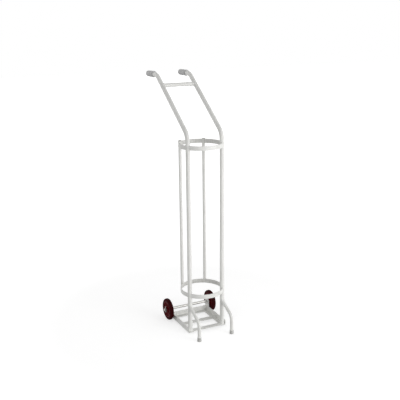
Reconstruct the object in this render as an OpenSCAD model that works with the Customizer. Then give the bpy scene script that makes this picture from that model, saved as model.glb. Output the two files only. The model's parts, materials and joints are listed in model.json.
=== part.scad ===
// Gas cylinder trolley: two bent handle tubes, two retaining rings, an angle-iron base and two wheels.
// X runs across the trolley, +Y points back to the wheels and handles, +Z is up from the floor.
// Left and right are as seen from the front, where the feet are.

/* [Handle tubes] */
// Outside diameter of the two long tubes that are both uprights and handles
tube_d = 25.4; // [22:0.1:30]
// Wall of the long tubes
tube_wall = 1.6; // [1:0.1:3]
// Centre-line radius of the bends in the long tubes
handle_bend_r = 80; // [60:1:110]
// Straight length of tube between the upper ring and the first bend
handle_stand = 12; // [5:1:60]
// Slope of the raked part of the handles above the horizontal
handle_rake = 36.5; // [28:0.5:55]
// Distance back from the uprights to the sharp corner of the upper bend
handle_reach = 404; // [340:1:500]
// Length of bare tube between the upper bend and the grip
handle_bare = 15; // [5:1:40]
// Outside diameter of the crossbar between the handles
crossbar_d = 22; // [16:0.5:25]
// Wall of the crossbar
crossbar_wall = 1.6; // [1:0.1:3]
// Distance down the rake from the sharp upper corner to the crossbar
crossbar_drop = 94; // [70:1:250]

/* [Grips] */
// Length of each hand grip
grip_len = 92; // [85:1:140]
// Wall of the grip over the tube, at the middle of its swell
grip_wall = 5; // [3.5:0.1:8]
// Thickness of the closed end of the grip
grip_end = 6; // [3:0.5:12]
// Length of the collar at the front of the grip
grip_collar_len = 7; // [4:0.5:12]
// Height of the round collar above the end of the grip's body
grip_collar_rise = 2.5; // [1:0.1:4]
// Depth of the finger grooves
grip_groove_depth = 1; // [0.4:0.1:1.5]
// Number of finger grooves
grip_grooves = 8; // [5:1:11]
// Radius of the rounded edge at the closed end of the grip
grip_end_r = 5; // [2:0.5:7]

/* [Retaining rings] */
// Inside diameter of both rings
ring_id = 242; // [225:1:270]
// Thickness of the ring band
ring_t = 4; // [3:0.5:6]
// Height of the ring band
ring_h = 25; // [20:1:40]
// Edge of the flat bar: its bevel in the rings and its radius in the strips
bar_edge_r = 0.8; // [0.3:0.1:1.2]
// Height of the middle of the lower ring
lower_ring_z = 237; // [220:1:320]
// Height of the middle of the upper ring
upper_ring_z = 1093; // [900:1:1200]
// Distance of the rings' centre behind the uprights
ring_setback = 55; // [20:1:75]
// Distance of the uprights' centres inside the middle of the ring band
upright_inset = 5; // [0:0.5:8]

/* [Rear tubes] */
// Outside diameter of the two rear tubes that join the rings
rear_tube_d = 19; // [16:0.5:25]
// Wall of the rear tubes
rear_tube_wall = 1.2; // [1:0.1:2.5]
// Angle of each rear tube from straight back, about the rings' centre
rear_tube_angle = 34; // [15:1:50]
// Thickness of the head of the plastic plugs in the rear tubes
plug_head = 2.5; // [1.5:0.5:5]
// Depth of the plugs inside the rear tubes
plug_depth = 12; // [6:1:25]

/* [Base] */
// Height of the base's underside above the floor
base_z = 8; // [4:1:25]
// Leg length of the angle iron
rail_leg = 30; // [25:1:40]
// Thickness of the angle iron
rail_t = 3; // [3:0.5:5]
// Root radius inside the angle iron
rail_root_r = 3; // [2:0.5:5]
// Toe radius at the ends of the angle iron's legs
rail_toe_r = 2; // [1:0.5:2.5]
// Distance of the base's back face behind the uprights
base_back = 235; // [220:1:320]
// Width of the flat strips that the cylinder stands on
strip_w = 30; // [28:1:40]
// Thickness of the strips
strip_t = 5; // [3:0.5:8]
// Distance of the middle strip behind the uprights
middle_strip_y = 103; // [80:1:140]

/* [Front feet] */
// Outside diameter of the feet tubes
foot_d = 19; // [16:0.5:25]
// Wall of the feet tubes
foot_wall = 1.5; // [1:0.1:2.5]
// Height at which the feet leave the uprights
foot_top_z = 165; // [140:1:180]
// Slope of the feet below the horizontal where they leave the uprights
foot_slope = 25; // [10:1:40]
// Centre-line radius of the bend in the feet
foot_bend_r = 50; // [35:1:60]
// Distance of the feet ahead of the uprights
foot_reach = 117; // [90:1:140]
// Wall of the rubber foot tips
tip_wall = 2; // [1.5:0.1:4]
// Thickness of the sole of the foot tips
tip_sole = 6; // [4:0.5:10]
// Radius of the rounded edge of the foot tips' soles
tip_edge_r = 2; // [1:0.5:3]
// Height of the foot tips
tip_h = 22; // [20:1:45]

/* [Wheels] */
// Outside diameter of the tyres
wheel_d = 130; // [120:1:140]
// Width of the tyres
tyre_w = 24; // [20:1:27]
// Radius of the tyre's shoulders
tyre_shoulder_r = 9; // [5:0.5:9.5]
// Width and depth of the grooves round the tread
tread_groove = 2; // [1:0.5:3]
// Outside diameter of the moulded wheel centre
rim_d = 98; // [90:1:104]
// Width of the wheel centre's rim
rim_w = 20; // [14:1:24]
// Thickness of the wheel centre's rim
rim_t = 6; // [4:0.5:9]
// Width and height of the key that holds the tyre on the rim
rim_key = 4; // [2:0.5:5]
// Thickness of the wheel centre's web
web_t = 6; // [4:0.5:10]
// Fillet radius where the web meets the rim and the hub
web_fillet_r = 3; // [1:0.5:4]
// Number of ribs that stiffen the web
rib_count = 8; // [5:1:10]
// Thickness of the ribs
rib_t = 4; // [3:0.5:6]
// Depth of the ribs below the edge of the rim
rib_recess = 3; // [1:0.5:5]
// Outside diameter of the hub
hub_d = 36; // [32:1:44]
// Length of the hub
hub_len = 28; // [27:1:40]

/* [Axle] */
// Diameter of the axle
axle_d = 16; // [12:0.5:18]
// Distance of the axle behind the uprights
axle_y = 232; // [218:1:240]
// Width of the axle brackets
bracket_w = 44; // [32:1:60]
// Thickness of the axle brackets
bracket_t = 5; // [3:0.5:8]
// Wall of the bushes in the hubs
bush_wall = 3; // [2:0.5:5]
// Length of bush that stands out of each end of the hub
bush_proud = 0.5; // [0.2:0.1:1.5]
// Outside diameter of the axle washers
washer_d = 30; // [27:1:40]
// Thickness of the axle washers
washer_t = 2; // [1:0.5:4]
// Diameter of the split pins
pin_d = 4; // [3:0.5:5]
// Length of axle beyond the split pins
axle_tail = 6; // [4:0.5:12]

/* [Hidden] */
$fn = 96;
long_arc_fn = 720;

// Clearances
weld_gap = 0.05;
seat_gap = 0.05;
run_gap = 0.05;
side_gap = 0.3;
weld_sink = 0.6;
bend_swell = 0.05;
bend_lap = 1;
cut = 1;

// Places of the uprights and rear tubes about the rings
ring_od = ring_id + 2 * ring_t;
upright_r = ring_id / 2 + ring_t / 2 - upright_inset;
upright_x = sqrt(upright_r * upright_r - ring_setback * ring_setback);
rear_r = ring_od / 2 - weld_sink + rear_tube_d / 2;
rear_x = rear_r * sin(rear_tube_angle);
rear_y = ring_setback + rear_r * cos(rear_tube_angle);
rear_low = lower_ring_z - ring_h / 2;
rear_high = upper_ring_z + ring_h / 2;

// Base
base_half = upright_x + tube_d / 2 + weld_gap + rail_t;
strip_z = base_z + rail_t;
strip_half = base_half - rail_t - rail_root_r;
upright_z = strip_z + strip_t;
base_front = strip_w / 2;
mitre = 4 * rail_leg;

// Handles
first_turn = 90 - handle_rake;
bend_z = upper_ring_z + ring_h / 2 + handle_stand;
turn_z = bend_z + handle_bend_r * tan(first_turn / 2);
handle_z = turn_z + handle_reach * tan(handle_rake);
rake_len = norm([handle_reach, handle_z - turn_z])
    - handle_bend_r * (tan(first_turn / 2) + tan(handle_rake / 2));
level_start = handle_reach + handle_bend_r * tan(handle_rake / 2);
level_len = handle_bare + grip_len - grip_end;
grip_y = level_start + handle_bare;
crossbar_y = handle_reach - crossbar_drop * cos(handle_rake);
crossbar_z = handle_z - crossbar_drop * sin(handle_rake);
grip_drop = 0.3 * grip_wall;
grip_groove_r = 3;
grip_vent_r = 3;

// Feet
foot_run = (foot_reach - foot_bend_r * (1 - sin(foot_slope))) / cos(foot_slope);
foot_bend_z = foot_top_z - foot_run * sin(foot_slope) - foot_bend_r * cos(foot_slope);
tip_d = foot_d + 2 * tip_wall;
tip_flare = 1;
tip_lip_r = 0.4 * tip_wall;

// Rear tube plugs
plug_lip = 0.8;
plug_dome = plug_head - plug_lip;
plug_dome_r = (pow(rear_tube_d / 2, 2) + pow(plug_dome, 2)) / (2 * plug_dome);

// Wheels, from the bracket outwards
axle_z = wheel_d / 2;
bracket_z = base_z + rail_t;
bracket_face = base_half + bracket_t;
bush_len = hub_len + 2 * bush_proud;
bush_od = axle_d + 2 * run_gap + 2 * bush_wall;
wheel_x = bracket_face + washer_t + side_gap + bush_len / 2;
outer_washer_x = wheel_x + bush_len / 2 + side_gap;
pin_x = outer_washer_x + washer_t + seat_gap + pin_d / 2;
axle_half = pin_x + pin_d / 2 + axle_tail;
axle_bevel = 1.5;
rim_edge_r = 1.2;
hub_edge_r = 1.5;
washer_play = 0.2;
washer_r = axle_d / 2 + washer_play;
washer_edge_r = 0.2 * washer_t;
pin_reach = axle_d / 2 + pin_d;
pin_eye_r = 0.9 * pin_d;
pin_wire = 0.45 * pin_d;
pin_leg = 1.5 * pin_d;
pin_leg_angle = 30;

// Middle of the whole trolley from front to back, which is put at the origin
front_edge = -foot_reach - tip_d / 2 - tip_flare;
back_edge = level_start + level_len + grip_end;
mid_y = (front_edge + back_edge) / 2;

PAINT = "whitesmoke";
ZINC = "silver";
RUBBER = "dimgray";
MAROON = "#4a1012";
NYLON = "linen";

// Puts the trolley's middle over the origin
module in_place() {
    translate([0, -mid_y, 0])
        children();
}

// Mirrors a right-hand piece to the left side when side is -1
module on_side(side) {
    mirror([side < 0 ? 1 : 0, 0, 0])
        children();
}

module tube_section(d, wall) {
    difference() {
        circle(d = d);
        circle(d = d - 2 * wall);
    }
}

// Section of flat bar with rolled edges, about its middle
module bar_section(w, h, r) {
    square([w - 2 * r, h], center = true);
    square([w, h - 2 * r], center = true);
    for (x = [-1, 1])
        for (y = [-1, 1])
            translate([x * (w / 2 - r), y * (h / 2 - r)])
                circle(r);
}

// Section of flat bar with bevelled edges, about its middle
module bevelled_section(w, h, bevel) {
    polygon([
        [w / 2 - bevel, -h / 2], [w / 2, bevel - h / 2], [w / 2, h / 2 - bevel], [w / 2 - bevel, h / 2],
        [bevel - w / 2, h / 2], [-w / 2, h / 2 - bevel], [-w / 2, bevel - h / 2], [bevel - w / 2, -h / 2],
    ]);
}

// Fillet in the corner of the X and Y axes
module corner_fillet(r) {
    difference() {
        square(r);
        translate([r, r])
            circle(r);
    }
}

// Length of round tube up the Z axis
module tube_straight(d, wall, length) {
    linear_extrude(length)
        tube_section(d, wall);
}

// Bend that starts up the Z axis and turns towards +Y, a hair thicker than the straights that end in it
module tube_bend(d, wall, r, turn) {
    translate([0, r, 0])
        rotate([90, 0, -90])
            rotate_extrude(angle = turn)
                translate([r, 0])
                    tube_section(d + 2 * bend_swell, wall + 2 * bend_swell);
}

// Tube made of steps, each a straight length, then a turn towards +Y at a bend radius
module bent_tube(d, wall, steps, i = 0) {
    if (i < len(steps)) {
        length = steps[i][0];
        turn = steps[i][1];
        r = steps[i][2];
        lap_before = i > 0 ? bend_lap : 0;
        lap_after = turn > 0 ? bend_lap : 0;
        translate([0, 0, -lap_before])
            tube_straight(d, wall, lap_before + length + lap_after);
        translate([0, 0, length]) {
            if (turn > 0)
                tube_bend(d, wall, r, turn);
            translate([0, r * (1 - cos(turn)), r * sin(turn)])
                rotate([-turn, 0, 0])
                    bent_tube(d, wall, steps, i + 1);
        }
    }
}

// Upright, first bend, rake, second bend and level run under the grip
module handle_tube(side) {
    color(PAINT)
        in_place()
            translate([side * upright_x, 0, upright_z])
                bent_tube(tube_d, tube_wall, [
                    [bend_z - upright_z, first_turn, handle_bend_r],
                    [rake_len, handle_rake, handle_bend_r],
                    [level_len, 0, 0],
                ]);
}

// Solid envelope of the raked part of one handle, to cope the crossbar
module rake_envelope(side) {
    translate([side * upright_x, crossbar_y, crossbar_z])
        rotate([-first_turn, 0, 0])
            cylinder(d = tube_d + 2 * weld_gap, h = 4 * tube_d, center = true);
}

module handle_crossbar() {
    color(PAINT)
        in_place()
            difference() {
                translate([-upright_x, crossbar_y, crossbar_z])
                    rotate([0, 90, 0])
                        tube_straight(crossbar_d, crossbar_wall, 2 * upright_x);
                rake_envelope(-1);
                rake_envelope(1);
            }
}

// Half outline of the grip: round collar, grooved swelling body, rounded end, bore and vent dimple
module grip_outline() {
    bore_r = tube_d / 2 + seat_gap;
    mid_r = bore_r + grip_wall;
    end_r = mid_r - grip_drop;
    body_len = grip_len - grip_collar_len;
    body_mid = grip_collar_len + body_len / 2;
    swell_r = (pow(body_len / 2, 2) + pow(grip_drop, 2)) / (2 * grip_drop);
    bead_r = grip_collar_len / 2;
    bead_x = end_r + grip_collar_rise - bead_r;
    groove_step = (body_len - grip_end_r) / (grip_grooves + 1);
    vent_depth = grip_end / 3;
    difference() {
        union() {
            square([bead_x, grip_collar_len]);
            translate([bead_x, bead_r])
                circle(bead_r);
            intersection() {
                translate([mid_r - swell_r, body_mid])
                    circle(swell_r, $fn = long_arc_fn);
                union() {
                    square([mid_r, grip_len - grip_end_r]);
                    square([end_r - grip_end_r, grip_len]);
                    translate([end_r - grip_end_r, grip_len - grip_end_r])
                        circle(grip_end_r);
                }
            }
        }
        translate([0, -cut])
            square([bore_r, grip_len - grip_end + cut]);
        translate([0, grip_len - vent_depth])
            square([grip_vent_r, grip_end]);
        for (i = [1:grip_grooves]) {
            z = grip_collar_len + i * groove_step;
            body_r = mid_r - swell_r + sqrt(pow(swell_r, 2) - pow(z - body_mid, 2));
            translate([body_r + grip_groove_r - grip_groove_depth, z])
                circle(grip_groove_r);
        }
    }
}

module grip(side) {
    color(RUBBER)
        in_place()
            translate([side * upright_x, grip_y, handle_z])
                rotate([-90, 0, 0])
                    rotate_extrude()
                        grip_outline();
}

// Hoop of flat bar, cut through by the uprights and bedded on the rear tubes
module cut_hoop(z) {
    difference() {
        translate([0, ring_setback, z])
            rotate_extrude()
                translate([(ring_id + ring_t) / 2, 0])
                    bevelled_section(ring_t, ring_h, bar_edge_r);
        for (side = [-1, 1]) {
            translate([side * upright_x, 0, z - ring_h / 2 - cut])
                cylinder(d = tube_d + 2 * weld_gap, h = ring_h + 2 * cut);
            translate([side * rear_x, rear_y, z - ring_h / 2 - cut])
                cylinder(d = rear_tube_d + 2 * weld_gap, h = ring_h + 2 * cut);
        }
    }
}

// Arc of a hoop ahead of the uprights, or the arc behind them, coped on to both tubes
module band(z, ahead) {
    color(PAINT)
        in_place()
            intersection() {
                cut_hoop(z);
                translate([-ring_od, ahead ? -2 * ring_od : 0, z - ring_h])
                    cube([2 * ring_od, 2 * ring_od, 2 * ring_h]);
            }
}

module rear_tube(side) {
    color(PAINT)
        in_place()
            translate([side * rear_x, rear_y, rear_low])
                tube_straight(rear_tube_d, rear_tube_wall, rear_high - rear_low);
}

// Plug that points down into a tube whose end is at the origin
module tube_plug() {
    rotate_extrude() {
        intersection() {
            square([rear_tube_d / 2, plug_head]);
            translate([0, plug_head - plug_dome_r])
                circle(plug_dome_r);
        }
        translate([0, -plug_depth])
            square([rear_tube_d / 2 - rear_tube_wall - seat_gap, plug_depth]);
    }
}

module rear_tube_plugs() {
    color(RUBBER)
        in_place()
            for (side = [-1, 1]) {
                translate([side * rear_x, rear_y, rear_high])
                    tube_plug();
                translate([side * rear_x, rear_y, rear_low])
                    mirror([0, 0, 1])
                        tube_plug();
            }
}

// Leg of the angle iron along the X axis, with a round toe on its inner side
module angle_leg() {
    intersection() {
        square([rail_leg, rail_t]);
        union() {
            square([rail_leg - rail_toe_r, rail_t]);
            square([rail_leg, rail_t - rail_toe_r]);
            translate([rail_leg - rail_toe_r, rail_t - rail_toe_r])
                circle(rail_toe_r);
        }
    }
}

// Angle-iron section with its outer corner at the origin and a rounded root
module angle_section() {
    angle_leg();
    mirror([1, -1, 0])
        angle_leg();
    translate([rail_t, rail_t])
        corner_fillet(rail_root_r);
}

// Block that lies past the mitre at a rear corner, or before it
module mitre_block(past) {
    translate([-base_half, base_back, base_z - cut])
        rotate([0, 0, -45])
            translate([-mitre / 2, past ? 0 : -mitre, 0])
                cube([mitre, mitre, rail_leg + 2 * cut]);
}

module side_rail(side) {
    color(PAINT)
        in_place()
            on_side(-side)
                difference() {
                    translate([-base_half, base_back, base_z])
                        rotate([90, 0, 0])
                            linear_extrude(base_back + base_front)
                                angle_section();
                    mitre_block(true);
                }
}

module rear_rail() {
    color(PAINT)
        in_place()
            difference() {
                translate([base_half, base_back, base_z])
                    rotate([90, 0, -90])
                        linear_extrude(2 * base_half)
                            angle_section();
                mitre_block(false);
                on_side(-1)
                    mitre_block(false);
            }
}

// Flat strip across the base, on the flanges of the side rails
module strip(y) {
    color(PAINT)
        in_place()
            translate([-strip_half, y, strip_z + strip_t / 2])
                rotate([90, 0, 90])
                    linear_extrude(2 * strip_half)
                        bar_section(strip_w, strip_t, bar_edge_r);
}

// Foot tube, coped on to the front of the upright
module foot(side) {
    color(PAINT)
        in_place()
            difference() {
                translate([side * upright_x, 0, foot_top_z])
                    rotate([90 + foot_slope, 0, 0])
                        rotate([0, 0, 180])
                            bent_tube(foot_d, foot_wall, [
                                [foot_run, 90 - foot_slope, foot_bend_r],
                                [foot_bend_z - tip_sole, 0, 0],
                            ]);
                translate([side * upright_x, 0, foot_top_z - 2 * tube_d])
                    cylinder(d = tube_d + 2 * weld_gap, h = 4 * tube_d);
            }
}

// Half outline of a rubber ferrule with a flared, round-edged sole and a round lip
module tip_outline() {
    wall_r = tip_d / 2;
    sole_r = wall_r + tip_flare;
    difference() {
        union() {
            square([sole_r - tip_edge_r, tip_sole]);
            translate([0, tip_edge_r])
                square([sole_r, tip_sole - tip_edge_r]);
            translate([sole_r - tip_edge_r, tip_edge_r])
                circle(tip_edge_r);
            polygon([[0, tip_sole], [sole_r, tip_sole], [wall_r, 2 * tip_sole], [0, 2 * tip_sole]]);
            square([wall_r, tip_h - tip_lip_r]);
            square([wall_r - tip_lip_r, tip_h]);
            translate([wall_r - tip_lip_r, tip_h - tip_lip_r])
                circle(tip_lip_r);
        }
        translate([0, tip_sole])
            square([foot_d / 2 + seat_gap, tip_h]);
    }
}

module foot_tip(side) {
    color(RUBBER)
        in_place()
            translate([side * upright_x, -foot_reach, 0])
                rotate_extrude()
                    tip_outline();
}

// Round bar with bevelled ends and a cross hole for each split pin
module axle() {
    color(ZINC)
        in_place()
            translate([0, axle_y, axle_z])
                difference() {
                    rotate([0, 90, 0])
                        rotate_extrude()
                            polygon([
                                [0, -axle_half], [axle_d / 2 - axle_bevel, -axle_half],
                                [axle_d / 2, axle_bevel - axle_half], [axle_d / 2, axle_half - axle_bevel],
                                [axle_d / 2 - axle_bevel, axle_half], [0, axle_half],
                            ]);
                    for (side = [-1, 1])
                        translate([side * pin_x, 0, 0])
                            cylinder(d = pin_d + 2 * seat_gap, h = 2 * axle_d, center = true);
                }
}

// Plate with a round head, welded to the outside of a side rail
module axle_bracket(side) {
    color(PAINT)
        in_place()
            on_side(side)
                translate([base_half, axle_y, 0])
                    rotate([90, 0, 90])
                        linear_extrude(bracket_t)
                            difference() {
                                union() {
                                    translate([-bracket_w / 2, bracket_z])
                                        square([bracket_w, axle_z - bracket_z]);
                                    translate([0, axle_z])
                                        circle(d = bracket_w);
                                }
                                translate([0, axle_z])
                                    circle(d = axle_d + 2 * run_gap);
                            }
}

module axle_washers() {
    color(ZINC)
        in_place()
            for (side = [-1, 1])
                on_side(side)
                    for (x = [bracket_face, outer_washer_x])
                        translate([x, axle_y, axle_z])
                            rotate([0, 90, 0])
                                rotate_extrude()
                                    translate([(washer_d / 2 + washer_r) / 2, washer_t / 2])
                                        bar_section(washer_d / 2 - washer_r, washer_t, washer_edge_r);
}

// Split pin: shank through the axle, eye above and two spread legs below
module split_pin() {
    translate([0, 0, -pin_reach])
        cylinder(d = pin_d, h = 2 * pin_reach);
    translate([0, 0, pin_reach + pin_eye_r])
        rotate([0, 90, 0])
            rotate_extrude()
                translate([pin_eye_r, 0])
                    circle(d = pin_wire);
    for (turn = [-1, 1])
        translate([0, 0, -pin_reach])
            rotate([180 + turn * pin_leg_angle, 0, 0])
                cylinder(d = pin_wire, h = pin_leg);
}

module split_pins() {
    color(ZINC)
        in_place()
            for (side = [-1, 1])
                translate([side * pin_x, axle_y, axle_z])
                    split_pin();
}

// Puts a wheel piece, drawn about the Z axis, on the axle
module on_axle(side) {
    in_place()
        translate([side * wheel_x, axle_y, axle_z])
            rotate([0, 90, 0])
                children();
}

// Section of the key that stands on the rim and locks the tyre
module key_section(play) {
    translate([rim_d / 2 - cut, -rim_key / 2 - play])
        square([rim_key + cut + play, rim_key + 2 * play]);
}

// Section of the web, filleted to the hub and the rim
module web_section(rim_inner) {
    translate([0, -web_t / 2])
        square([rim_inner + cut, web_t]);
    for (face = [0, 1])
        mirror([0, face, 0])
            translate([0, web_t / 2]) {
                translate([hub_d / 2, 0])
                    corner_fillet(web_fillet_r);
                translate([rim_inner, 0])
                    mirror([1, 0, 0])
                        corner_fillet(web_fillet_r);
            }
}

// Moulded wheel centre: rim, web, ribs and hub
module wheel_centre(side) {
    rim_inner = rim_d / 2 - rim_t;
    color(MAROON)
        on_axle(side)
            difference() {
                union() {
                    rotate_extrude() {
                        translate([rim_inner + rim_t / 2, 0])
                            bar_section(rim_t, rim_w, rim_edge_r);
                        key_section(0);
                        web_section(rim_inner);
                        translate([hub_d / 4, 0])
                            bar_section(hub_d / 2, hub_len, hub_edge_r);
                    }
                    for (i = [0:rib_count - 1])
                        rotate([0, 0, 360 * i / rib_count])
                            translate([0, -rib_t / 2, rib_recess - rim_w / 2])
                                cube([rim_inner + cut, rib_t, rim_w - 2 * rib_recess]);
                }
                cylinder(d = bush_od + 2 * seat_gap, h = 2 * hub_len, center = true);
            }
}

// Solid rubber tyre with round shoulders and two grooves round the tread
module tyre(side) {
    bore_r = rim_d / 2 + seat_gap;
    crown_r = wheel_d / 2;
    flat_half = tyre_w / 2 - tyre_shoulder_r;
    color(MAROON)
        on_axle(side)
            rotate_extrude()
                difference() {
                    intersection() {
                        translate([bore_r, -tyre_w / 2])
                            square([crown_r - bore_r, tyre_w]);
                        union() {
                            translate([bore_r, -tyre_w / 2])
                                square([crown_r - tyre_shoulder_r - bore_r, tyre_w]);
                            translate([bore_r, -flat_half])
                                square([crown_r - bore_r, 2 * flat_half]);
                            for (y = [-flat_half, flat_half])
                                translate([crown_r - tyre_shoulder_r, y])
                                    circle(tyre_shoulder_r);
                        }
                    }
                    key_section(seat_gap);
                    for (y = [-flat_half, flat_half])
                        translate([crown_r - tread_groove, y - tread_groove / 2])
                            square([2 * tread_groove, tread_groove]);
                }
}

module bush(side) {
    color(NYLON)
        on_axle(side)
            translate([0, 0, -bush_len / 2])
                tube_straight(bush_od, bush_wall, bush_len);
}

handle_tube(-1);  // left_handle_tube
handle_tube(1);  // right_handle_tube
handle_crossbar();
grip(-1);  // left_grip
grip(1);  // right_grip
band(upper_ring_z, true);  // upper_front_band
band(upper_ring_z, false);  // upper_rear_band
band(lower_ring_z, true);  // lower_front_band
band(lower_ring_z, false);  // lower_rear_band
rear_tube(-1);  // left_rear_tube
rear_tube(1);  // right_rear_tube
rear_tube_plugs();
side_rail(-1);  // left_side_rail
side_rail(1);  // right_side_rail
rear_rail();
strip(0);  // front_strip
strip(middle_strip_y);  // middle_strip
foot(-1);  // left_foot
foot(1);  // right_foot
foot_tip(-1);  // left_foot_tip
foot_tip(1);  // right_foot_tip
axle();
axle_bracket(-1);  // left_axle_bracket
axle_bracket(1);  // right_axle_bracket
axle_washers();
split_pins();
wheel_centre(-1);  // left_wheel_centre
wheel_centre(1);  // right_wheel_centre
tyre(-1);  // left_tyre
tyre(1);  // right_tyre
bush(-1);  // left_bush
bush(1);  // right_bush
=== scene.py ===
import json
import math

import bmesh
import bpy
from bpy.props import FloatProperty, FloatVectorProperty, IntProperty, PointerProperty
from bpy.types import Operator, Panel, PropertyGroup
from mathutils import Matrix, Vector


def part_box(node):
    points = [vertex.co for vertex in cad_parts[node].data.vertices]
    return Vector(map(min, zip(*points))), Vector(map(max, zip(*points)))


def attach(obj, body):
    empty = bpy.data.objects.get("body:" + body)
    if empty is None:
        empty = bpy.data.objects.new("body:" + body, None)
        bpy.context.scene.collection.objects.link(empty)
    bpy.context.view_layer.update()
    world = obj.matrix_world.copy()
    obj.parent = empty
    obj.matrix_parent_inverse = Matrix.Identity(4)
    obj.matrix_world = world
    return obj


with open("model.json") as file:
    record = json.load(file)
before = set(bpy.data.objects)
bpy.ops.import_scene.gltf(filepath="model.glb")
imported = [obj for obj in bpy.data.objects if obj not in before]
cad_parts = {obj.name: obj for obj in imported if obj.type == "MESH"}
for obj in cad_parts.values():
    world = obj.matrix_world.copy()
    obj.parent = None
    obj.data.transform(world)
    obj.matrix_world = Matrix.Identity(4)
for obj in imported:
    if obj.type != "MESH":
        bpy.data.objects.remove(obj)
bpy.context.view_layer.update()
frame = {"nodes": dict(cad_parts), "record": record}

bl_info = {
    "name": "Gas cylinder trolley",
    "version": (1, 0, 0),
    "blender": (4, 5, 0),
    "location": "3D View > Sidebar > Trolley",
    "description": "Finishes, welds and studio of a gas cylinder trolley",
    "category": "Object",
}

MM = 0.001
WAVE_UNIT = 2 * math.pi / 20        # spacing of the wave node's bands at a scale of 1
SIDES = {"left": -1, "right": 1}
PAINTED = [
    entry["node"] for entry in frame["record"]["subparts"]
    if entry["material_slot"] == "frame_paint"
]


def node_middle(name):
    """Middle of a CAD node's box."""
    low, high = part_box(name)
    return (low + high) / 2


def node_size(name):
    """Width, depth and height of a CAD node's box."""
    low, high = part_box(name)
    return high - low


# Places and sizes that the frame gives
TUBE_R = node_size("right_handle_tube").x / 2
UPRIGHT_X = node_middle("right_handle_tube").x
UPRIGHT_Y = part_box("right_handle_tube")[0].y + TUBE_R
UPRIGHT_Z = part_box("right_handle_tube")[0].z
CROSSBAR = node_middle("handle_crossbar")
CROSSBAR_R = node_size("handle_crossbar").z / 2
RING_R = node_size("upper_rear_band").x / 2
RING_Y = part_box("upper_rear_band")[1].y - RING_R
REAR_TUBE_R = node_size("right_rear_tube").x / 2
FOOT_R = node_size("right_foot").x / 2
TYRE = node_middle("left_tyre")
TYRE_R = node_size("left_tyre").z / 2

# Angles and sizes repeated from the part's source, because no node's box gives them
HANDLE_RAKE = math.radians(36.5)
FOOT_SLOPE = math.radians(25)
FOOT_TOP_Z = 165 * MM
RAIL_T = 3 * MM
BAND_T = 4 * MM

# Real sizes of the patterns in the finishes
FILM_CLOUD = 120 * MM        # cloudy difference in film thickness, over a hand's width
SPECK = 9 * MM               # rubbed specks of the coat
SPECKS_LOW = 10 * MM         # height below which the specks are fullest
SPECKS_HIGH = 130 * MM       # height above which there are none
PEEL = 4 * MM                # orange peel, drawn this coarse so that it shows at all
PEEL_DEPTH = 0.08 * MM
CHIP_DEPTH = 0.12 * MM
SCUFF_WIDTH = 3 * MM
SCUFF_LENGTH = 40 * MM
HANDLED_PATCH = 18 * MM      # patches that hands and floors dull
DUST_DRIFT = 7 * MM
DUST_FADE = 5 * MM           # how far the dust reaches down from the tread
ZINC_CLOUD = 6 * MM
TURNING_PITCH = 4 * MM       # turning marks, drawn this far apart so that they show
TURNING_DEPTH = 0.05 * MM
COAT_IOR = 1.5               # of paint, rubber and plastic

# Shares of grey inside the rings and on the strips: the lower one, on the rings, is painted shade
# over their whole inside faces, and up to the higher one it is grey that a cylinder's steel leaves
RING_SHADE_AND_SCUFFS = (0.14, 0.6)
STRIP_SCUFFS = (0.0, 0.5)

# Shape of the weld beads
RIPPLE = (1.0, 1.07, 0.93, 0.84)        # shares of the radius along one ripple
END_TAPER = (0.35, 0.75)                # shares of the radius at the ends
LEAST_STEPS = 4
SADDLE_POINTS = 72
FOOT_ARC_START = 50                     # degrees from the rail's leg
FOOT_ARC = 260
FOOT_ARC_STEPS = 24

# Studio, in metres
SENSOR_MM = 36
KEY_SIZE, KEY_PLACE = 2.0, (1.3, -2.7, 0.8)
BACK_SIZE, BACK_PLACE = 3.0, (-2.6, 2.8, 2.6)
LAMP_AIM = Vector((0, -0.1, 0.7))
FLOOR_HALF = 20
FLOOR_COLOUR = "#c8c8c8"
GLOW_NEAR, GLOW_FAR = 0.8, 2.5
GLOW_LEAST = 0.63


def linear(hex_colour):
    """Linear RGB of an sRGB hex colour."""
    parts = [int(hex_colour[i:i + 2], 16) / 255 for i in (1, 3, 5)]
    return [c / 12.92 if c <= 0.04045 else ((c + 0.055) / 1.055) ** 2.4 for c in parts]


def rgba(colour):
    """A colour with full alpha."""
    return (*colour, 1.0)


def colour_property(name, description, hex_colour):
    """A colour that a user can change."""
    return FloatVectorProperty(
        name=name, description=description, subtype="COLOR", size=3, min=0, max=1,
        default=linear(hex_colour),
    )


def length_property(name, description, millimetres):
    """A length that a user can change."""
    return FloatProperty(
        name=name, description=description, default=millimetres * MM, unit="LENGTH", precision=5
    )


def angle_property(name, description, degrees):
    """An angle that a user can change."""
    return FloatProperty(
        name=name, description=description, default=math.radians(degrees), subtype="ANGLE"
    )


class TrolleyColours(PropertyGroup):
    """Colours of the trolley's finishes."""

    paint: colour_property("Powder coat", "Off-white coat of the whole frame", "#e8e8e5")
    primer: colour_property("Primer", "Grey under the coat, where it is rubbed thin", "#a5a29c")
    vinyl: colour_property("Grip vinyl", "Grey of the hand grips", "#c8c8c8")
    rubber: colour_property("Foot rubber", "Grey of the foot tips", "#c8c8c5")
    plug: colour_property("Tube plugs", "Pale grey of the plugs in the rear tubes", "#c2c2bd")
    zinc: colour_property("Zinc plate", "Axle and split pins", "#c6c6c4")
    # The washers are drawn darker and browner than the axle's bright plate
    dull_zinc: colour_property("Dull zinc", "Washers, dark with grease and rubber dust", "#5c504e")
    wheel: colour_property("Wheel centre", "Maroon of the moulded wheel centres", "#5e0b11")
    tyre: colour_property("Tyre", "Dark maroon of the solid tyres", "#340408")
    # This grey also serves as the painted shade on the inside faces of the rings
    scuff_and_shade_grey: colour_property(
        "Scuffs", "Grey that steel cylinders leave on the rings and strips", "#98968f"
    )
    dust: colour_property("Dust", "Floor dust on the tread of the tyres", "#45201f")
    nylon: colour_property("Bush", "Natural nylon of the wheel bushes", "#d9d2bd")


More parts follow.
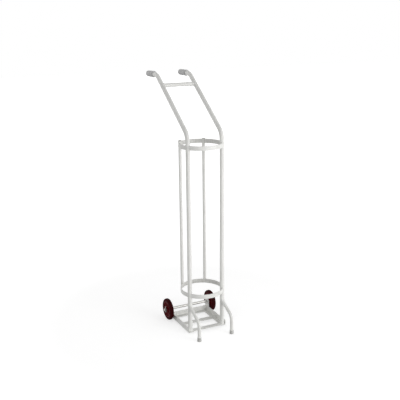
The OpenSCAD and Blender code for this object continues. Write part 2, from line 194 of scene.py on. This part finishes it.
class TrolleyWelds(PropertyGroup):
    """Sizes of the weld beads."""

    bead: length_property(
        "Bead radius", "Radius of a weld bead, half of which is sunk in its joint", 2.4
    )
    pitch: length_property(
        "Ripple pitch", "Distance from one ripple of a bead to the next", 2.6
    )
    inset: length_property(
        "Start and stop", "Distance of a bead's ends from the ends of its joint", 1.5
    )
    sides: IntProperty(
        name="Bead sides", description="Faces round a bead", default=10, min=6, max=24
    )


class TrolleyStudio(PropertyGroup):
    """Camera and light."""

    eye: FloatVectorProperty(
        name="Camera", description="Place of the camera", subtype="XYZ", unit="LENGTH",
        default=(-1.583, -3.344, 1.734),
    )
    yaw: angle_property("Yaw", "Turn of the view to the right of straight back", 26.26)
    pitch: angle_property("Pitch", "Tilt of the view below the horizon", 15.05)
    roll: angle_property("Roll", "Turn of the picture about the view", 0.58)
    lens: FloatProperty(
        name="Lens", description="Focal length in mm on a 36 mm sensor", default=58.72
    )
    key: FloatProperty(
        name="Key", description="Power of the soft light at the front", default=44.0, unit="POWER"
    )
    back: FloatProperty(
        name="Back", description="Power of the soft light behind", default=20.0, unit="POWER"
    )
    walls: FloatProperty(
        name="Walls", description="Strength of the light from all round", default=1.0
    )
    ceiling: FloatProperty(
        name="Ceiling", description="Strength of the light from straight above", default=0.25
    )


def add_node(tree, kind, inputs=None, **settings):
    """Adds a node with its settings, and sets or links its inputs."""
    node = tree.nodes.new(kind)
    for key, value in settings.items():
        setattr(node, key, value)
    for socket, value in (inputs or {}).items():
        if isinstance(value, bpy.types.NodeSocket):
            tree.links.new(value, node.inputs[socket])
        else:
            node.inputs[socket].default_value = value
    return node


def new_material(name, **constants):
    """A material with one principled shader whose constants are set on its sockets."""
    material = bpy.data.materials.new(name)
    material.use_nodes = True
    tree = material.node_tree
    tree.nodes.clear()
    shader = add_node(tree, "ShaderNodeBsdfPrincipled", constants)
    add_node(tree, "ShaderNodeOutputMaterial", {"Surface": shader.outputs["BSDF"]})
    place = add_node(tree, "ShaderNodeTexCoord")
    return material, tree, shader, place.outputs["Object"]


def powder_coat(name, colours, shade_and_scuffs=None):
    """Powder-coated steel: sprayed as powder and baked, so satin, faintly dimpled and even."""
    material, tree, shader, place = new_material(name, IOR=COAT_IOR)
    cloud = add_node(
        tree, "ShaderNodeTexNoise", {"Vector": place, "Scale": 1 / FILM_CLOUD, "Detail": 3.0}
    )
    cloudy = add_node(
        tree, "ShaderNodeMapRange",
        {"Value": cloud.outputs["Fac"], "From Min": 0.3, "From Max": 0.7, "To Max": 0.12},
    )
    # Rubbed specks where the coat meets floors and kerbs, only near the base
    speck = add_node(
        tree, "ShaderNodeTexNoise", {"Vector": place, "Scale": 1 / SPECK, "Detail": 6.0}
    )
    specks = add_node(
        tree, "ShaderNodeMapRange",
        {"Value": speck.outputs["Fac"], "From Min": 0.64, "From Max": 0.72, "To Max": 0.75},
    )
    height = add_node(tree, "ShaderNodeSeparateXYZ", {"Vector": place})
    low = add_node(
        tree, "ShaderNodeMapRange",
        {
            "Value": height.outputs["Z"], "From Min": SPECKS_HIGH, "From Max": SPECKS_LOW,
            "To Max": 1.0,
        },
    )
    rubbed = add_node(
        tree, "ShaderNodeMath", {0: specks.outputs["Result"], 1: low.outputs["Result"]},
        operation="MULTIPLY",
    )
    thin = add_node(
        tree, "ShaderNodeMath", {0: rubbed.outputs["Value"], 1: cloudy.outputs["Result"]},
        operation="MAXIMUM",
    )
    tint = add_node(
        tree, "ShaderNodeMix",
        {"Factor": thin.outputs["Value"], "A": rgba(colours.paint), "B": rgba(colours.primer)},
        data_type="RGBA",
    )
    # On the rings this adds painted shade on the inside faces as well as the grey that cylinders
    # leave
    if shade_and_scuffs:
        tint = inside_shade_and_scuffs(tree, place, colours, tint, *shade_and_scuffs)
    tree.links.new(tint.outputs["Result"], shader.inputs["Base Color"])
    gloss = add_node(
        tree, "ShaderNodeMapRange",
        {"Value": cloud.outputs["Fac"], "To Min": 0.36, "To Max": 0.54},
    )
    tree.links.new(gloss.outputs["Result"], shader.inputs["Roughness"])
    peel = add_node(
        tree, "ShaderNodeTexNoise", {"Vector": place, "Scale": 1 / PEEL, "Detail": 1.0}
    )
    dimples = add_node(
        tree, "ShaderNodeBump",
        {"Height": peel.outputs["Fac"], "Strength": 0.12, "Distance": PEEL_DEPTH},
    )
    chips = add_node(
        tree, "ShaderNodeBump",
        {
            "Height": rubbed.outputs["Value"], "Strength": 0.4, "Distance": -CHIP_DEPTH,
            "Normal": dimples.outputs["Normal"],
        },
    )
    tree.links.new(chips.outputs["Normal"], shader.inputs["Normal"])
    return material


def inside_shade_and_scuffs(tree, place, colours, tint, least_shade, most):
    """Grey upright scrapes inside the circle that a cylinder fills, where its steel slides; the
    lower share greys the whole inside evenly, which on the rings is painted shade.
    """
    stretched = add_node(
        tree, "ShaderNodeMapping",
        {"Vector": place, "Scale": (1 / SCUFF_WIDTH, 1 / SCUFF_WIDTH, 1 / SCUFF_LENGTH)},
    )
    streak = add_node(
        tree, "ShaderNodeTexNoise",
        {"Vector": stretched.outputs["Vector"], "Scale": 1.0, "Detail": 4.0},
    )
    # Lower share: painted shade over the whole inside; above it, grey rubbed on by cylinders
    streaks_over_shade = add_node(
        tree, "ShaderNodeMapRange",
        {
            "Value": streak.outputs["Fac"], "From Min": 0.5, "From Max": 0.72,
            "To Min": least_shade, "To Max": most,
        },
    )
    about_ring = add_node(
        tree, "ShaderNodeMapping",
        {"Vector": place, "Location": (0, -RING_Y, 0), "Scale": (1, 1, 0)},
    )
    reach = add_node(
        tree, "ShaderNodeVectorMath", {0: about_ring.outputs["Vector"]}, operation="LENGTH"
    )
    inside = add_node(
        tree, "ShaderNodeMapRange",
        {
            "Value": reach.outputs["Value"], "From Min": RING_R - BAND_T / 2,
            "From Max": RING_R - BAND_T, "To Max": 1.0,
        },
    )
    shaded_and_scuffed = add_node(
        tree, "ShaderNodeMath", {0: streaks_over_shade.outputs["Result"], 1: inside.outputs["Result"]},
        operation="MULTIPLY",
    )
    return add_node(
        tree, "ShaderNodeMix",
        {
            "Factor": shaded_and_scuffed.outputs["Value"], "A": tint.outputs["Result"],
            "B": rgba(colours.scuff_and_shade_grey),
        },
        data_type="RGBA",
    )


def moulded(name, colour, soil, roughness, grain, depth, specular=0.5):
    """Moulded rubber or plastic: an even colour dulled by handling, with its mould's fine grain."""
    material, tree, shader, place = new_material(
        name, **{"IOR": COAT_IOR, "Specular IOR Level": specular}
    )
    patch = add_node(
        tree, "ShaderNodeTexNoise", {"Vector": place, "Scale": 1 / HANDLED_PATCH, "Detail": 5.0}
    )
    handled = add_node(
        tree, "ShaderNodeMapRange",
        {"Value": patch.outputs["Fac"], "From Min": 0.35, "From Max": 0.75, "To Max": 0.35},
    )
    tint = add_node(
        tree, "ShaderNodeMix",
        {"Factor": handled.outputs["Result"], "A": rgba(colour), "B": rgba(linear(soil))},
        data_type="RGBA",
    )
    tree.links.new(tint.outputs["Result"], shader.inputs["Base Color"])
    worn = add_node(
        tree, "ShaderNodeMapRange",
        {"Value": patch.outputs["Fac"], "To Min": roughness - 0.08, "To Max": roughness + 0.12},
    )
    tree.links.new(worn.outputs["Result"], shader.inputs["Roughness"])
    # Mould grain, drawn a millimetre or more across so that it shows
    cells = add_node(tree, "ShaderNodeTexVoronoi", {"Vector": place, "Scale": 1 / grain})
    grained = add_node(
        tree, "ShaderNodeBump",
        {"Height": cells.outputs["Distance"], "Strength": 0.5, "Distance": depth},
    )
    tree.links.new(grained.outputs["Normal"], shader.inputs["Normal"])
    return material


def solid_tyre(colours):
    """Solid rubber: matt and dark, with floor dust on the tread that fades down the shoulders."""
    material = moulded(
        "solid_rubber_dark_maroon", colours.tyre, soil="#260305",
        roughness=0.68, grain=1.2 * MM, depth=0.1 * MM, specular=0.05,
    )
    tree = material.node_tree
    shader = next(node for node in tree.nodes if node.type == "BSDF_PRINCIPLED")
    place = next(node for node in tree.nodes if node.type == "TEX_COORD").outputs["Object"]
    clean = shader.inputs["Base Color"].links[0].from_socket
    about_axle = add_node(
        tree, "ShaderNodeMapping",
        {"Vector": place, "Location": (0, -TYRE.y, -TYRE.z), "Scale": (0, 1, 1)},
    )
    reach = add_node(
        tree, "ShaderNodeVectorMath", {0: about_axle.outputs["Vector"]}, operation="LENGTH"
    )
    outside = add_node(
        tree, "ShaderNodeMapRange",
        {
            "Value": reach.outputs["Value"], "From Min": TYRE_R - DUST_FADE, "From Max": TYRE_R,
            "To Max": 1.0,
        },
    )
    drift = add_node(
        tree, "ShaderNodeTexNoise", {"Vector": place, "Scale": 1 / DUST_DRIFT, "Detail": 6.0}
    )
    drifts = add_node(
        tree, "ShaderNodeMapRange",
        {"Value": drift.outputs["Fac"], "From Min": 0.4, "From Max": 0.75, "To Max": 0.5},
    )
    dusty = add_node(
        tree, "ShaderNodeMath", {0: outside.outputs["Result"], 1: drifts.outputs["Result"]},
        operation="MULTIPLY",
    )
    tint = add_node(
        tree, "ShaderNodeMix",
        {"Factor": dusty.outputs["Value"], "A": clean, "B": rgba(colours.dust)},
        data_type="RGBA",
    )
    tree.links.new(tint.outputs["Result"], shader.inputs["Base Color"])
    return material


def zinc_plate(name, colour, cloud_colour, roughness):
    """Zinc-plated steel: grey metal with a faint cloudy passivation and fine turning marks."""
    material, tree, shader, place = new_material(name, Metallic=1.0)
    cloud = add_node(
        tree, "ShaderNodeTexNoise", {"Vector": place, "Scale": 1 / ZINC_CLOUD, "Detail": 4.0}
    )
    tint = add_node(
        tree, "ShaderNodeMix",
        {"Factor": cloud.outputs["Fac"], "A": rgba(colour), "B": rgba(linear(cloud_colour))},
        data_type="RGBA",
    )
    tree.links.new(tint.outputs["Result"], shader.inputs["Base Color"])
    gloss = add_node(
        tree, "ShaderNodeMapRange",
        {"Value": cloud.outputs["Fac"], "To Min": roughness - 0.11, "To Max": roughness + 0.11},
    )
    tree.links.new(gloss.outputs["Result"], shader.inputs["Roughness"])
    turned = add_node(
        tree, "ShaderNodeTexWave",
        {"Vector": place, "Scale": WAVE_UNIT / TURNING_PITCH, "Distortion": 1.0},
        bands_direction="X",
    )
    marks = add_node(
        tree, "ShaderNodeBump",
        {"Height": turned.outputs["Fac"], "Strength": 0.2, "Distance": TURNING_DEPTH},
    )
    tree.links.new(marks.outputs["Normal"], shader.inputs["Normal"])
    return material


def dress(names, material):
    """Puts one material on CAD nodes."""
    for name in names:
        slots = frame["nodes"][name].data.materials
        slots.clear()
        slots.append(material)


def new_piece(name, bm, material, body):
    """Makes a finished piece of a bmesh, with its place in its mesh, and puts it on a body."""
    bmesh.ops.recalc_face_normals(bm, faces=bm.faces)
    mesh = bpy.data.meshes.new(name)
    bm.to_mesh(mesh)
    bm.free()
    mesh.shade_smooth()
    mesh.materials.append(material)
    piece = bpy.data.objects.new(name, mesh)
    bpy.context.scene.collection.objects.link(piece)
    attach(piece, body)


def even_path(points, step, closed):
    """Points about one step apart along a line of points."""
    line = list(points)
    if closed:
        line.append(line[0])
    reach = [0.0]
    for a, b in zip(line, line[1:]):
        reach.append(reach[-1] + (b - a).length)
    count = max(LEAST_STEPS, round(reach[-1] / step))
    path = []
    leg = 0
    for i in range(count if closed else count + 1):
        target = reach[-1] * i / count
        while reach[leg + 1] < target and leg + 2 < len(reach):
            leg += 1
        share = (target - reach[leg]) / (reach[leg + 1] - reach[leg])
        path.append(line[leg].lerp(line[leg + 1], share))
    return path


def bead_radius(i, count, closed):
    """Share of the full radius at ring i of a bead, rippled and drawn in at the ends."""
    share = RIPPLE[i % len(RIPPLE)]
    from_end = min(i, count - 1 - i)
    if not closed and from_end < len(END_TAPER):
        share *= END_TAPER[from_end]
    return share


def ring_of(verts):
    """Edges that join these vertices to each other."""
    kept = set(verts)
    return list({edge for vert in verts for edge in vert.link_edges if set(edge.verts) <= kept})


def lay_bead(bm, points, welds, closed):
    """Lays one rippled weld bead along a line of points, its lower half sunk in the joint."""
    path = even_path(points, welds.pitch / len(RIPPLE), closed)
    count = len(path)
    heading = Vector((0, 0, 1))
    turn = Matrix.Identity(3)
    first = None
    for i, centre in enumerate(path):
        ahead = path[(i + 1) % count] if closed or i + 1 < count else centre
        behind = path[i - 1] if closed or i > 0 else centre
        new_heading = (ahead - behind).normalized()
        turn = heading.rotation_difference(new_heading).to_matrix() @ turn
        heading = new_heading
        radius = welds.bead * bead_radius(i, count, closed)
        place = Matrix.Translation(centre) @ turn.to_4x4() @ Matrix.Scale(radius, 4)
        if first is None:
            made = bmesh.ops.create_circle(
                bm, segments=welds.sides, radius=1.0, matrix=place, cap_ends=not closed
            )
            first = ring_of(made["verts"])
            edges = first
        else:
            grown = bmesh.ops.extrude_edge_only(bm, edges=edges)["geom"]
            ring = [part for part in grown if isinstance(part, bmesh.types.BMVert)]
            bmesh.ops.transform(bm, matrix=place @ last_place.inverted(), verts=ring)
            edges = ring_of(ring)
        last_place = place
    if closed:
        bmesh.ops.bridge_loops(bm, edges=edges + first)
    else:
        bmesh.ops.contextual_create(bm, geom=edges)


def saddle(centre, main_axis, main_r, branch_axis, branch_r):
    """Closed line where the outside of a branch tube meets the outside of a main tube."""
    across = main_axis.cross(branch_axis).normalized()
    up = branch_axis.cross(across)
    way = branch_axis - branch_axis.dot(main_axis) * main_axis
    square = way.length_squared
    line = []
    for i in range(SADDLE_POINTS):
        angle = 2 * math.pi * i / SADDLE_POINTS
        start = branch_r * (math.cos(angle) * across + math.sin(angle) * up)
        off = start - start.dot(main_axis) * main_axis
        half = off.dot(way)
        gap = off.length_squared - main_r * main_r
        reach = (math.sqrt(half * half - square * gap) - half) / square
        line.append(centre + start + reach * branch_axis)
    return line


def crossings(centre_a, radius_a, centre_b, radius_b):
    """The two points of the plane where two circles cross."""
    between = centre_b - centre_a
    apart = between.length
    along = (apart * apart + radius_a * radius_a - radius_b * radius_b) / (2 * apart)
    aside = math.sqrt(radius_a * radius_a - along * along)
    ahead = between / apart
    left = Vector((-ahead.y, ahead.x))
    middle = centre_a + along * ahead
    return [middle + aside * left, middle - aside * left]


def upright_line(spot, low, high):
    """Straight line up from low to high at a point of the plan."""
    return [Vector((spot.x, spot.y, low)), Vector((spot.x, spot.y, high))]


class TROLLEY_OT_finishes(Operator):
    """Gives every carried-over piece of the trolley its finish"""

    bl_idname = "trolley.finishes"
    bl_label = "Finishes"

    def execute(self, context):
        colours = context.scene.trolley_colours
        bands = [name for name in PAINTED if name.endswith("_band")]
        strips = [name for name in PAINTED if name.endswith("_strip")]
        dress(PAINTED, powder_coat("powder_coat_off_white", colours))
        # The rings' inside faces get painted shade under the grey that cylinders leave
        dress(bands, powder_coat("powder_coat_shaded_and_scuffed_inside", colours, RING_SHADE_AND_SCUFFS))
        dress(strips, powder_coat("powder_coat_scuffed", colours, STRIP_SCUFFS))
        # Bright zinc plate, smooth enough to mirror the floor softly
        zinc = zinc_plate("zinc_plated_steel", colours.zinc, "#a9a7a2", roughness=0.39)
        dress(["axle", "split_pins"], zinc)
        # The same plate, darker, browner and duller, on the washers beside the hubs
        dull_zinc = zinc_plate(
            "zinc_plated_steel_dulled", colours.dull_zinc, "#3f3231", roughness=0.55
        )
        dress(["axle_washers"], dull_zinc)
        # Dip-moulded PVC: soft and matt, a little shiny where hands rub it
        vinyl = moulded(
            "moulded_vinyl_grey", colours.vinyl, soil="#a2a2a0",
            roughness=0.55, grain=1.0 * MM, depth=0.12 * MM,
        )
        dress(["left_grip", "right_grip"], vinyl)
        # Moulded rubber: dull, and dirty in patches from the floor
        rubber = moulded(
            "moulded_rubber_grey", colours.rubber, soil="#85837e",
            roughness=0.7, grain=1.2 * MM, depth=0.1 * MM, specular=0.35,
        )
        dress(["left_foot_tip", "right_foot_tip"], rubber)
        # Moulded polyethylene: waxy and half matt
        plug = moulded(
            "polyethylene_pale_grey", colours.plug, soil="#a9a8a2",
            roughness=0.5, grain=1.5 * MM, depth=0.05 * MM,
        )
        dress(["rear_tube_plugs"], plug)
        # Moulded polypropylene: a deep, even colour with a satin skin
        wheel = moulded(
            "polypropylene_maroon", colours.wheel, soil="#4a0c10",
            roughness=0.42, grain=1.5 * MM, depth=0.05 * MM, specular=0.12,
        )
        dress(["left_wheel_centre", "right_wheel_centre"], wheel)
        dress(["left_tyre", "right_tyre"], solid_tyre(colours))
        # Moulded nylon in its own cream colour, satin
        nylon = moulded(
            "nylon_natural", colours.nylon, soil="#b9b09a",
            roughness=0.45, grain=1.5 * MM, depth=0.05 * MM,
        )
        dress(["left_bush", "right_bush"], nylon)
        return {"FINISHED"}


def weld_piece(name, lines, closed):
    """One piece of weld beads, in the powder coat that the finishes made."""
    welds = bpy.context.scene.trolley_welds
    bm = bmesh.new()
    for line in lines:
        lay_bead(bm, line, welds, closed)
    coat = bpy.data.materials["powder_coat_off_white"]
    new_piece(name, bm, coat, "frame")


class TROLLEY_OT_crossbar_welds(Operator):
    """Welds the crossbar to the raked handles"""

    bl_idname = "trolley.crossbar_welds"
    bl_label = "Crossbar welds"

    def execute(self, context):
        rake = Vector((0, math.cos(HANDLE_RAKE), math.sin(HANDLE_RAKE)))
        lines = []
        for side in SIDES.values():
            handle = Vector((side * UPRIGHT_X, CROSSBAR.y, CROSSBAR.z))
            lines.append(saddle(handle, rake, TUBE_R, Vector((-side, 0, 0)), CROSSBAR_R))
        weld_piece("crossbar_welds", lines, closed=True)
        return {"FINISHED"}


class TROLLEY_OT_foot_welds(Operator):
    """Welds the feet to the uprights"""

    bl_idname = "trolley.foot_welds"
    bl_label = "Foot welds"

    def execute(self, context):
        slope = Vector((0, -math.cos(FOOT_SLOPE), -math.sin(FOOT_SLOPE)))
        lines = []
        for side in SIDES.values():
            top = Vector((side * UPRIGHT_X, UPRIGHT_Y, FOOT_TOP_Z))
            lines.append(saddle(top, Vector((0, 0, 1)), TUBE_R, slope, FOOT_R))
        weld_piece("foot_welds", lines, closed=True)
        return {"FINISHED"}


class TROLLEY_OT_ring_welds(Operator):
    """Welds the ring bands to the uprights and to the rear tubes"""

    bl_idname = "trolley.ring_welds"
    bl_label = "Ring welds"

    def execute(self, context):
        welds = context.scene.trolley_welds
        ring_centre = Vector((0, RING_Y))
        lines = []
        for band in ("upper_rear_band", "lower_rear_band"):
            low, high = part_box(band)
            spots = []
            for name, side in SIDES.items():
                upright = Vector((side * UPRIGHT_X, UPRIGHT_Y))
                for radius in (RING_R, RING_R - BAND_T):
                    spots += crossings(ring_centre, radius, upright, TUBE_R)
                rear = node_middle(name + "_rear_tube").xy
                spots += crossings(
                    ring_centre, RING_R + welds.bead / 2, rear, REAR_TUBE_R + welds.bead / 2
                )
            for spot in spots:
                lines.append(upright_line(spot, low.z + welds.inset, high.z - welds.inset))
        weld_piece("ring_welds", lines, closed=False)
        return {"FINISHED"}


class TROLLEY_OT_base_welds(Operator):
    """Welds the base: uprights, strips and mitred corners"""

    bl_idname = "trolley.base_welds"
    bl_label = "Base welds"

    def execute(self, context):
        welds = context.scene.trolley_welds
        strip_low, strip_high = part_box("middle_strip")
        strip_edges = (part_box("front_strip")[1].y, strip_low.y, strip_high.y)
        lines = []
        for name, side in SIDES.items():
            low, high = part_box(name + "_side_rail")
            flange_z = low.z + RAIL_T
            outer_x = side * max(abs(low.x), abs(high.x))
            inner_x = side * min(abs(low.x), abs(high.x))
            leg_x = outer_x - side * RAIL_T
            # Both sides of the line where the upright touches the rail's leg
            leg_gap = abs(leg_x) - UPRIGHT_X - welds.bead / 2
            aside = math.sqrt((TUBE_R + welds.bead / 2) ** 2 - leg_gap ** 2)
            for y in (UPRIGHT_Y - aside, UPRIGHT_Y + aside):
                spot = Vector((side * (UPRIGHT_X + leg_gap), y))
                lines.append(upright_line(spot, UPRIGHT_Z + welds.inset, high.z - welds.inset))
            # Round the foot of the upright, clear of the rail's leg
            foot = []
            for i in range(FOOT_ARC_STEPS + 1):
                angle = math.radians(FOOT_ARC_START + FOOT_ARC * i / FOOT_ARC_STEPS)
                out = Vector((side * math.cos(angle), math.sin(angle), 0)) * TUBE_R
                foot.append(Vector((side * UPRIGHT_X, UPRIGHT_Y, UPRIGHT_Z)) + out)
            lines.append(foot)
            # Edges of the strips on the rail's flange
            for y in strip_edges:
                lines.append([
                    Vector((inner_x + side * welds.inset, y, flange_z)),
                    Vector((side * strip_high.x, y, flange_z)),
                ])
            # Mitre at the rear corner, on the flange and up the inside of the legs
            corner = Vector((leg_x, high.y - RAIL_T, flange_z))
            toe = Vector((inner_x, high.y - abs(outer_x - inner_x), flange_z))
            lines.append([toe, corner])
            lines.append(upright_line(corner.xy, flange_z, high.z - welds.inset))
        weld_piece("base_welds", lines, closed=False)
        return {"FINISHED"}


class TROLLEY_OT_bracket_welds(Operator):
    """Welds the axle brackets to the side rails"""

    bl_idname = "trolley.bracket_welds"
    bl_label = "Bracket welds"

    def execute(self, context):
        welds = context.scene.trolley_welds
        lines = []
        for name, side in SIDES.items():
            bracket_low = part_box(name + "_axle_bracket")[0]
            rail_low, rail_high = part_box(name + "_side_rail")
            face_x = side * max(abs(rail_low.x), abs(rail_high.x))
            front = Vector((face_x, bracket_low.y))
            lines.append(
                upright_line(front, bracket_low.z + welds.inset, rail_high.z - welds.inset)
            )
            for z in (bracket_low.z, rail_high.z):
                lines.append([
                    Vector((face_x, bracket_low.y + welds.inset, z)),
                    Vector((face_x, rail_high.y - welds.inset, z)),
                ])
        weld_piece("bracket_welds", lines, closed=False)
        return {"FINISHED"}


def seen_directly(tree):
    """1 for rays that show a surface, straight or in gloss or glass, and 0 for those that light."""
    path = add_node(tree, "ShaderNodeLightPath")
    shiny = add_node(
        tree, "ShaderNodeMath",
        {0: path.outputs["Is Glossy Ray"], 1: path.outputs["Is Transmission Ray"]},
        operation="ADD",
    )
    seen = add_node(
        tree, "ShaderNodeMath", {0: path.outputs["Is Camera Ray"], 1: shiny.outputs["Value"]},
        operation="ADD", use_clamp=True,
    )
    return seen.outputs["Value"]


class TROLLEY_OT_studio(Operator):
    """Sets the camera, the white floor and the soft light"""

    bl_idname = "trolley.studio"
    bl_label = "Studio"

    def execute(self, context):
        studio = context.scene.trolley_studio
        self.set_camera(context, studio)
        self.set_world(context, studio)
        self.set_floor(context)
        self.set_lamp(context, "key", studio.key, KEY_SIZE, KEY_PLACE)
        self.set_lamp(context, "back", studio.back, BACK_SIZE, BACK_PLACE)
        context.scene.view_settings.view_transform = "Standard"
        return {"FINISHED"}

    def set_camera(self, context, studio):
        ahead = Vector((
            math.sin(studio.yaw) * math.cos(studio.pitch),
            math.cos(studio.yaw) * math.cos(studio.pitch),
            -math.sin(studio.pitch),
        ))
        level = Vector((math.cos(studio.yaw), -math.sin(studio.yaw), 0))
        down = ahead.cross(level)
        right = math.cos(studio.roll) * level + math.sin(studio.roll) * down
        up = math.sin(studio.roll) * level - math.cos(studio.roll) * down
        data = bpy.data.cameras.new("camera")
        data.sensor_width = SENSOR_MM
        data.lens = studio.lens
        camera = bpy.data.objects.new("camera", data)
        context.scene.collection.objects.link(camera)
        turn = Matrix((right, up, -ahead)).transposed()
        camera.matrix_world = Matrix.Translation(Vector(studio.eye)) @ turn.to_4x4()
        context.scene.camera = camera

    def set_world(self, context, studio):
        world = bpy.data.worlds.new("studio_white")
        world.use_nodes = True
        tree = world.node_tree
        tree.nodes.clear()
        # Lights more from its walls than from overhead, as a tent of white cloth does
        way = add_node(tree, "ShaderNodeTexCoord")
        rise = add_node(tree, "ShaderNodeSeparateXYZ", {"Vector": way.outputs["Generated"]})
        fill = add_node(
            tree, "ShaderNodeMapRange",
            {"Value": rise.outputs["Z"], "To Min": studio.walls, "To Max": studio.ceiling},
        )
        strength = add_node(
            tree, "ShaderNodeMix",
            {"Factor": seen_directly(tree), "A": fill.outputs["Result"], "B": 1.0},
        )
        background = add_node(
            tree, "ShaderNodeBackground",
            {"Color": (1, 1, 1, 1), "Strength": strength.outputs["Result"]},
        )
        add_node(tree, "ShaderNodeOutputWorld", {"Surface": background.outputs["Background"]})
        context.scene.world = world

    def set_floor(self, context):
        material = bpy.data.materials.new("floor_white")
        material.use_nodes = True
        tree = material.node_tree
        tree.nodes.clear()
        matt = add_node(tree, "ShaderNodeBsdfDiffuse", {"Color": rgba(linear(FLOOR_COLOUR))})
        # Short of white near the trolley, so that its shadow shows, and white to the horizon
        place = add_node(tree, "ShaderNodeTexCoord")
        away = add_node(
            tree, "ShaderNodeVectorMath", {0: place.outputs["Object"]}, operation="LENGTH"
        )
        glow_share = add_node(
            tree, "ShaderNodeMapRange",
            {
                "Value": away.outputs["Value"], "From Min": GLOW_NEAR, "From Max": GLOW_FAR,
                "To Min": GLOW_LEAST, "To Max": 1.0,
            },
        )
        shown = add_node(
            tree, "ShaderNodeMath", {0: seen_directly(tree), 1: glow_share.outputs["Result"]},
            operation="MULTIPLY",
        )
        glow = add_node(tree, "ShaderNodeEmission", {"Strength": shown.outputs["Value"]})
        both = add_node(
            tree, "ShaderNodeAddShader", {0: matt.outputs["BSDF"], 1: glow.outputs["Emission"]}
        )
        add_node(tree, "ShaderNodeOutputMaterial", {"Surface": both.outputs["Shader"]})
        bm = bmesh.new()
        bmesh.ops.create_grid(bm, x_segments=1, y_segments=1, size=FLOOR_HALF)
        mesh = bpy.data.meshes.new("floor")
        bm.to_mesh(mesh)
        bm.free()
        mesh.materials.append(material)
        floor = bpy.data.objects.new("floor", mesh)
        context.scene.collection.objects.link(floor)

    def set_lamp(self, context, name, power, size, place):
        data = bpy.data.lights.new(name, "AREA")
        data.shape = "DISK"
        data.size = size
        data.energy = power
        lamp = bpy.data.objects.new(name, data)
        context.scene.collection.objects.link(lamp)
        lamp.location = place
        aim = LAMP_AIM - lamp.location
        lamp.rotation_euler = aim.to_track_quat("-Z", "Y").to_euler()


OPERATORS = (
    TROLLEY_OT_studio,
    TROLLEY_OT_finishes,
    TROLLEY_OT_crossbar_welds,
    TROLLEY_OT_foot_welds,
    TROLLEY_OT_ring_welds,
    TROLLEY_OT_base_welds,
    TROLLEY_OT_bracket_welds,
)
GROUPS = {
    "trolley_colours": TrolleyColours,
    "trolley_welds": TrolleyWelds,
    "trolley_studio": TrolleyStudio,
}


class TROLLEY_PT_panel(Panel):
    """Sizes, colours and steps of the trolley"""

    bl_idname = "TROLLEY_PT_panel"
    bl_label = "Gas cylinder trolley"
    bl_space_type = "VIEW_3D"
    bl_region_type = "UI"
    bl_category = "Trolley"

    def draw(self, context):
        for attribute, group in GROUPS.items():
            box = self.layout.box()
            for name in group.__annotations__:
                box.prop(getattr(context.scene, attribute), name)
        for operator in OPERATORS:
            self.layout.operator(operator.bl_idname)


CLASSES = (*GROUPS.values(), *OPERATORS, TROLLEY_PT_panel)


def register():
    for cls in CLASSES:
        bpy.utils.register_class(cls)
    for attribute, group in GROUPS.items():
        setattr(bpy.types.Scene, attribute, PointerProperty(type=group))


def unregister():
    for attribute in GROUPS:
        delattr(bpy.types.Scene, attribute)
    for cls in reversed(CLASSES):
        bpy.utils.unregister_class(cls)


def main():
    register()
    bpy.ops.trolley.studio()
    bpy.ops.trolley.finishes()
    bpy.ops.trolley.crossbar_welds()
    bpy.ops.trolley.foot_welds()
    bpy.ops.trolley.ring_welds()
    bpy.ops.trolley.base_welds()
    bpy.ops.trolley.bracket_welds()


if __name__ == "__main__":
    main()
